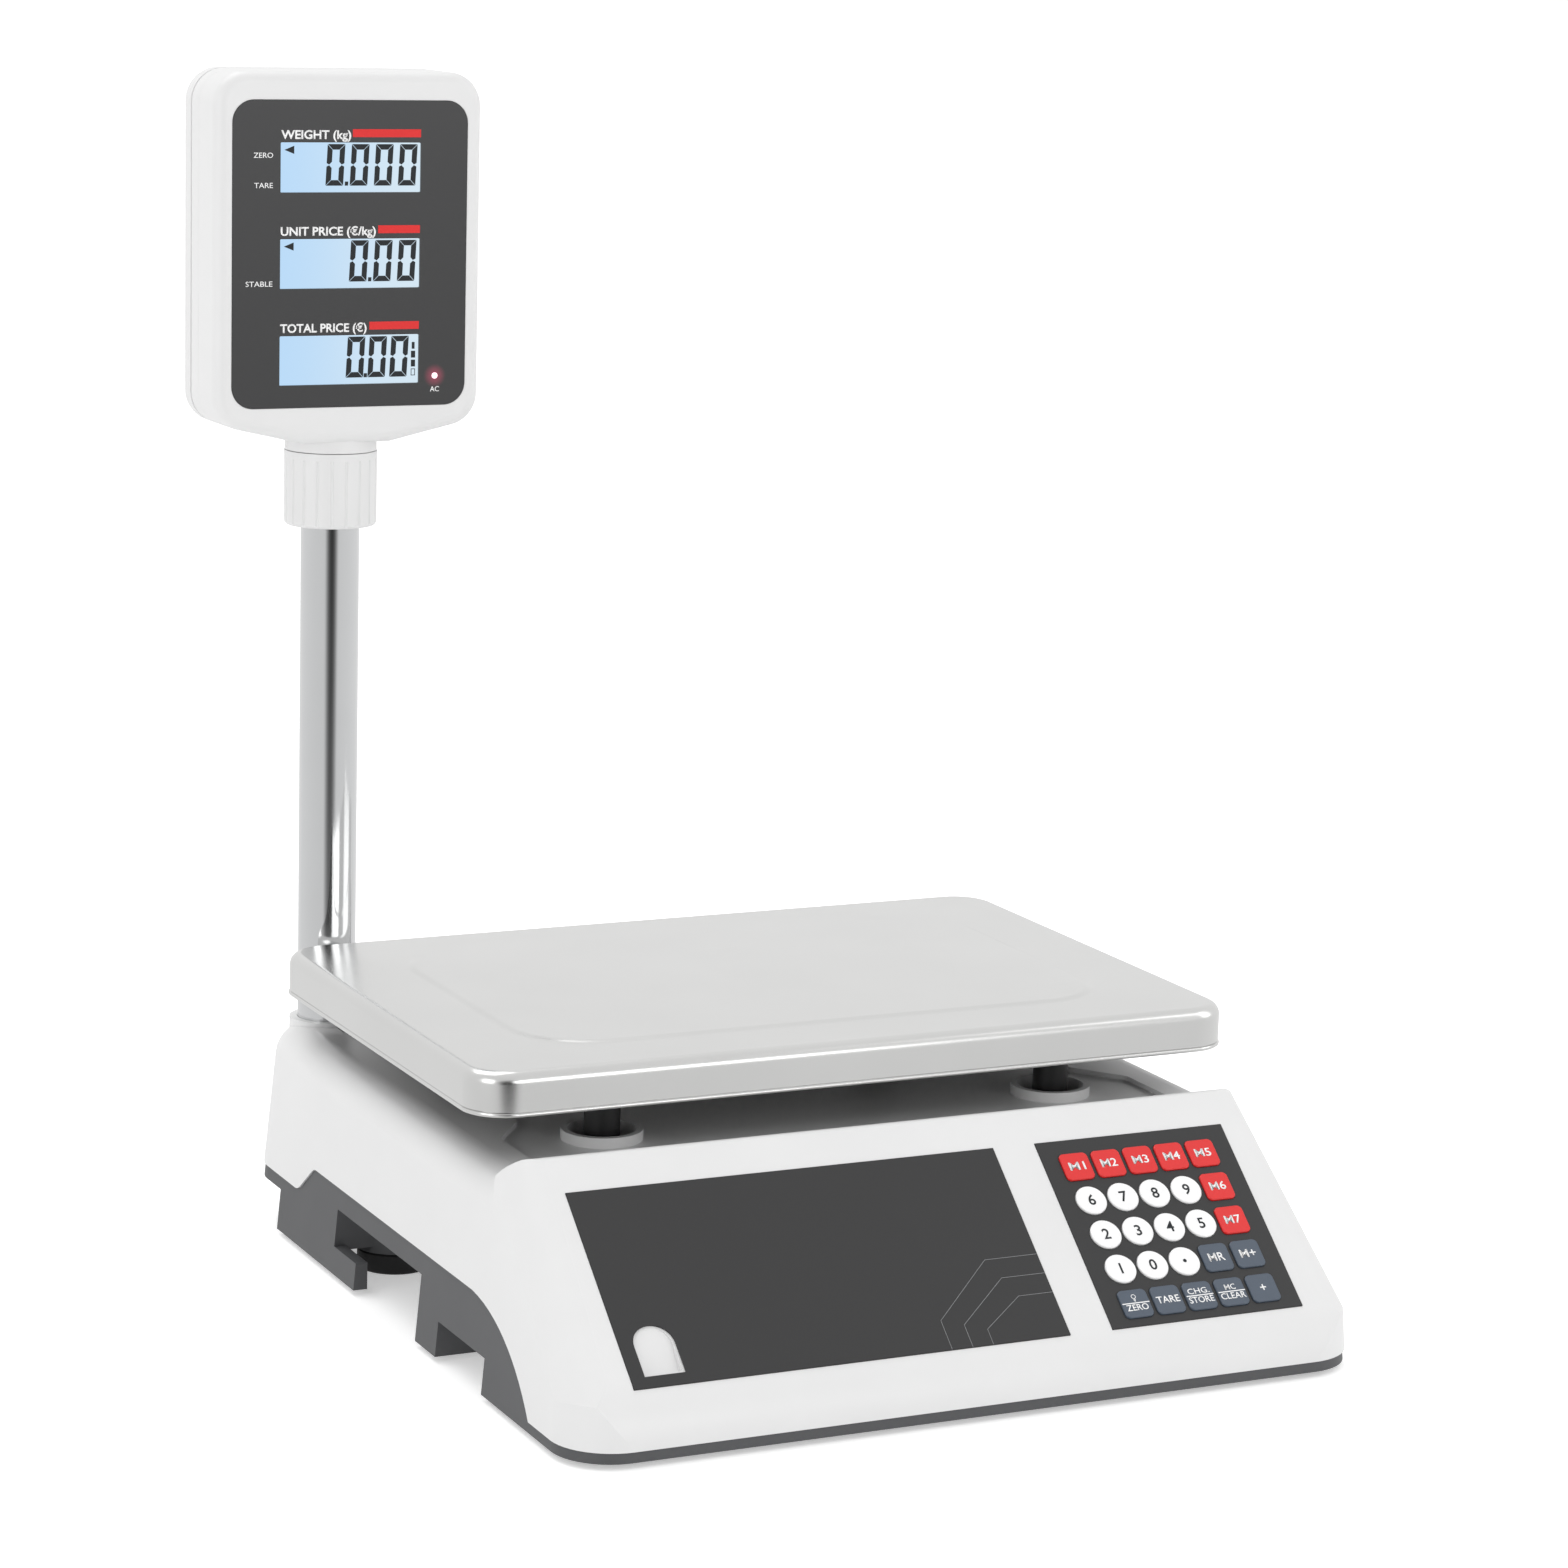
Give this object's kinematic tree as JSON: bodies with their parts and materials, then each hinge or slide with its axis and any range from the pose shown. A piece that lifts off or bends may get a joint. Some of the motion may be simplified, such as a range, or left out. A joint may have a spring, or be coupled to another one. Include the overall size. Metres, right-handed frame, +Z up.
{
  "type": "retail price scale",
  "caption": "Counter price-computing scale: lift-off steel pan on a load cell, sloped keypad front, levelling feet and a swivelling two-sided display head on a pole.",
  "frame": {"origin": "on the ground, midway across the base and 185 mm behind its front edge, in the plane that the four feet rest on", "axes": "+Z up along the pole, +X to the operator's right, +Y from the operator to the back"},
  "size_m": [0.3734, 0.3757, 0.498],
  "materials": {
    "cover_white": "semi-gloss moulded ABS",
    "housing_grey": "fine texture moulded ABS",
    "panel_dark": "printed polycarbonate, satin",
    "key_red": "satin",
    "key_white": "satin",
    "key_grey": "satin",
    "pan_steel": "satin rolled stainless",
    "pole_chrome": "polished plating",
    "black_plastic": "moulded",
    "foot_rubber": "matt",
    "screw_steel": "zinc plated",
    "cell_aluminium": "machined",
    "circuit_board": "solder mask",
    "battery_case": "moulded",
    "cable_jacket": "PVC",
    "display_glass": "backlit display"
  },
  "bodies": {
    "root": {"lower_housing": "housing_grey", "upper_cover": "cover_white", "front_overlay": "panel_dark", "keypad_overlay": "panel_dark", "keypad_board": "circuit_board", "case_screws": "screw_steel", "load_cell": "cell_aluminium", "load_cell_bolts": "screw_steel", "main_board": "circuit_board", "battery": "battery_case", "battery_door": "housing_grey", "power_inlet": "black_plastic", "switch_frame": "black_plastic", "pole_socket": "black_plastic", "pole": "pole_chrome", "display_cable": "cable_jacket", "pole_collar": "cover_white"},
    "platform": {"spider": "cell_aluminium", "posts": "black_plastic"},
    "pan": {"pan": "pan_steel"},
    "head": {"head_front_shell": "cover_white", "head_rear_shell": "cover_white", "head_panels": "panel_dark", "lcd_modules": "display_glass", "head_board": "circuit_board", "head_screws": "screw_steel"},
    "power_switch": {"switch_rocker": "black_plastic"},
    "key_m1": {"key_m1": "key_red"},
    "key_m2": {"key_m2": "key_red"},
    "key_m3": {"key_m3": "key_red"},
    "key_m4": {"key_m4": "key_red"},
    "key_m5": {"key_m5": "key_red"},
    "key_6": {"key_6": "key_white"},
    "key_7": {"key_7": "key_white"},
    "key_8": {"key_8": "key_white"},
    "key_9": {"key_9": "key_white"},
    "key_m6": {"key_m6": "key_red"},
    "key_2": {"key_2": "key_white"},
    "key_3": {"key_3": "key_white"},
    "key_4": {"key_4": "key_white"},
    "key_5": {"key_5": "key_white"},
    "key_m7": {"key_m7": "key_red"},
    "key_1": {"key_1": "key_white"},
    "key_0": {"key_0": "key_white"},
    "key_point": {"key_point": "key_white"},
    "key_mr": {"key_mr": "key_grey"},
    "key_m_plus": {"key_m_plus": "key_grey"},
    "key_zero": {"key_zero": "key_grey"},
    "key_tare": {"key_tare": "key_grey"},
    "key_store": {"key_store": "key_grey"},
    "key_clear": {"key_clear": "key_grey"},
    "key_plus": {"key_plus": "key_grey"},
    "foot_pad_front_left": {"foot_pad_front_left": "foot_rubber"},
    "foot_screw_front_left": {"foot_screw_front_left": "screw_steel"},
    "foot_pad_front_right": {"foot_pad_front_right": "foot_rubber"},
    "foot_screw_front_right": {"foot_screw_front_right": "screw_steel"},
    "foot_pad_rear_left": {"foot_pad_rear_left": "foot_rubber"},
    "foot_screw_rear_left": {"foot_screw_rear_left": "screw_steel"},
    "foot_pad_rear_right": {"foot_pad_rear_right": "foot_rubber"},
    "foot_screw_rear_right": {"foot_screw_rear_right": "screw_steel"}
  },
  "joints": [
    {"name": "platform_press", "type": "slide", "parent": "root", "child": "platform", "axis": [0, 0, 1], "range_m": [-0.0004, 0], "stiffness_N_per_m": 60000, "springref_m": 0.0003, "deforming": ["load_cell"]},
    {"name": "pan_lift", "type": "slide", "parent": "platform", "child": "pan", "axis": [0, 0, 1], "range_m": [0, 0.06]},
    {"name": "head_swivel", "type": "hinge", "parent": "root", "child": "head", "pos_m": [-0.142, 0.1685, 0.338], "axis": [0, 0, 1], "range_deg": [-165, 165]},
    {"name": "power_rocker", "type": "hinge", "parent": "root", "child": "power_switch", "pos_m": [0.16473, 0.1, 0.05773], "axis": [0, -1, 0], "range_deg": [0, 14]},
    {"name": "press_m1", "type": "slide", "parent": "root", "child": "key_m1", "axis": [0, 0.6401, -0.7683], "range_m": [0, 0.0008], "stiffness_N_per_m": 120, "springref_m": -0.0004},
    {"name": "press_m2", "type": "slide", "parent": "root", "child": "key_m2", "axis": [0, 0.6401, -0.7683], "range_m": [0, 0.0008], "stiffness_N_per_m": 120, "springref_m": -0.0004},
    {"name": "press_m3", "type": "slide", "parent": "root", "child": "key_m3", "axis": [0, 0.6401, -0.7683], "range_m": [0, 0.0008], "stiffness_N_per_m": 120, "springref_m": -0.0004},
    {"name": "press_m4", "type": "slide", "parent": "root", "child": "key_m4", "axis": [0, 0.6401, -0.7683], "range_m": [0, 0.0008], "stiffness_N_per_m": 120, "springref_m": -0.0004},
    {"name": "press_m5", "type": "slide", "parent": "root", "child": "key_m5", "axis": [0, 0.6401, -0.7683], "range_m": [0, 0.0008], "stiffness_N_per_m": 120, "springref_m": -0.0004},
    {"name": "press_6", "type": "slide", "parent": "root", "child": "key_6", "axis": [0, 0.6401, -0.7683], "range_m": [0, 0.0008], "stiffness_N_per_m": 120, "springref_m": -0.0004},
    {"name": "press_7", "type": "slide", "parent": "root", "child": "key_7", "axis": [0, 0.6401, -0.7683], "range_m": [0, 0.0008], "stiffness_N_per_m": 120, "springref_m": -0.0004},
    {"name": "press_8", "type": "slide", "parent": "root", "child": "key_8", "axis": [0, 0.6401, -0.7683], "range_m": [0, 0.0008], "stiffness_N_per_m": 120, "springref_m": -0.0004},
    {"name": "press_9", "type": "slide", "parent": "root", "child": "key_9", "axis": [0, 0.6401, -0.7683], "range_m": [0, 0.0008], "stiffness_N_per_m": 120, "springref_m": -0.0004},
    {"name": "press_m6", "type": "slide", "parent": "root", "child": "key_m6", "axis": [0, 0.6401, -0.7683], "range_m": [0, 0.0008], "stiffness_N_per_m": 120, "springref_m": -0.0004},
    {"name": "press_2", "type": "slide", "parent": "root", "child": "key_2", "axis": [0, 0.6401, -0.7683], "range_m": [0, 0.0008], "stiffness_N_per_m": 120, "springref_m": -0.0004},
    {"name": "press_3", "type": "slide", "parent": "root", "child": "key_3", "axis": [0, 0.6401, -0.7683], "range_m": [0, 0.0008], "stiffness_N_per_m": 120, "springref_m": -0.0004},
    {"name": "press_4", "type": "slide", "parent": "root", "child": "key_4", "axis": [0, 0.6401, -0.7683], "range_m": [0, 0.0008], "stiffness_N_per_m": 120, "springref_m": -0.0004},
    {"name": "press_5", "type": "slide", "parent": "root", "child": "key_5", "axis": [0, 0.6401, -0.7683], "range_m": [0, 0.0008], "stiffness_N_per_m": 120, "springref_m": -0.0004},
    {"name": "press_m7", "type": "slide", "parent": "root", "child": "key_m7", "axis": [0, 0.6401, -0.7683], "range_m": [0, 0.0008], "stiffness_N_per_m": 120, "springref_m": -0.0004},
    {"name": "press_1", "type": "slide", "parent": "root", "child": "key_1", "axis": [0, 0.6401, -0.7683], "range_m": [0, 0.0008], "stiffness_N_per_m": 120, "springref_m": -0.0004},
    {"name": "press_0", "type": "slide", "parent": "root", "child": "key_0", "axis": [0, 0.6401, -0.7683], "range_m": [0, 0.0008], "stiffness_N_per_m": 120, "springref_m": -0.0004},
    {"name": "press_point", "type": "slide", "parent": "root", "child": "key_point", "axis": [0, 0.6401, -0.7683], "range_m": [0, 0.0008], "stiffness_N_per_m": 120, "springref_m": -0.0004},
    {"name": "press_mr", "type": "slide", "parent": "root", "child": "key_mr", "axis": [0, 0.6401, -0.7683], "range_m": [0, 0.0008], "stiffness_N_per_m": 120, "springref_m": -0.0004},
    {"name": "press_m_plus", "type": "slide", "parent": "root", "child": "key_m_plus", "axis": [0, 0.6401, -0.7683], "range_m": [0, 0.0008], "stiffness_N_per_m": 120, "springref_m": -0.0004},
    {"name": "press_zero", "type": "slide", "parent": "root", "child": "key_zero", "axis": [0, 0.6401, -0.7683], "range_m": [0, 0.0008], "stiffness_N_per_m": 120, "springref_m": -0.0004},
    {"name": "press_tare", "type": "slide", "parent": "root", "child": "key_tare", "axis": [0, 0.6401, -0.7683], "range_m": [0, 0.0008], "stiffness_N_per_m": 120, "springref_m": -0.0004},
    {"name": "press_store", "type": "slide", "parent": "root", "child": "key_store", "axis": [0, 0.6401, -0.7683], "range_m": [0, 0.0008], "stiffness_N_per_m": 120, "springref_m": -0.0004},
    {"name": "press_clear", "type": "slide", "parent": "root", "child": "key_clear", "axis": [0, 0.6401, -0.7683], "range_m": [0, 0.0008], "stiffness_N_per_m": 120, "springref_m": -0.0004},
    {"name": "press_plus", "type": "slide", "parent": "root", "child": "key_plus", "axis": [0, 0.6401, -0.7683], "range_m": [0, 0.0008], "stiffness_N_per_m": 120, "springref_m": -0.0004},
    {"name": "foot_height_front_left", "type": "slide", "parent": "root", "child": "foot_pad_front_left", "axis": [0, 0, -1], "range_m": [0, 0.0075]},
    {"name": "foot_turn_front_left", "type": "hinge", "parent": "foot_pad_front_left", "child": "foot_screw_front_left", "pos_m": [-0.14, -0.127, 0], "axis": [0, 0, 1], "range_deg": [0, 2165]},
    {"name": "foot_height_front_right", "type": "slide", "parent": "root", "child": "foot_pad_front_right", "axis": [0, 0, -1], "range_m": [0, 0.0075]},
    {"name": "foot_turn_front_right", "type": "hinge", "parent": "foot_pad_front_right", "child": "foot_screw_front_right", "pos_m": [0.14, -0.127, 0], "axis": [0, 0, 1], "range_deg": [0, 2165]},
    {"name": "foot_height_rear_left", "type": "slide", "parent": "root", "child": "foot_pad_rear_left", "axis": [0, 0, -1], "range_m": [0, 0.0075]},
    {"name": "foot_turn_rear_left", "type": "hinge", "parent": "foot_pad_rear_left", "child": "foot_screw_rear_left", "pos_m": [-0.14, 0.087, 0], "axis": [0, 0, 1], "range_deg": [0, 2165]},
    {"name": "foot_height_rear_right", "type": "slide", "parent": "root", "child": "foot_pad_rear_right", "axis": [0, 0, -1], "range_m": [0, 0.0075]},
    {"name": "foot_turn_rear_right", "type": "hinge", "parent": "foot_pad_rear_right", "child": "foot_screw_rear_right", "pos_m": [0.14, 0.087, 0], "axis": [0, 0, 1], "range_deg": [0, 2165]}
  ],
  "couplings": [
    {"joint": "foot_turn_front_left", "follows": "foot_height_front_left", "rad_per_m": 5026.5},
    {"joint": "foot_turn_front_right", "follows": "foot_height_front_right", "rad_per_m": 5026.5},
    {"joint": "foot_turn_rear_left", "follows": "foot_height_rear_left", "rad_per_m": 5026.5},
    {"joint": "foot_turn_rear_right", "follows": "foot_height_rear_right", "rad_per_m": 5026.5}
  ]
}
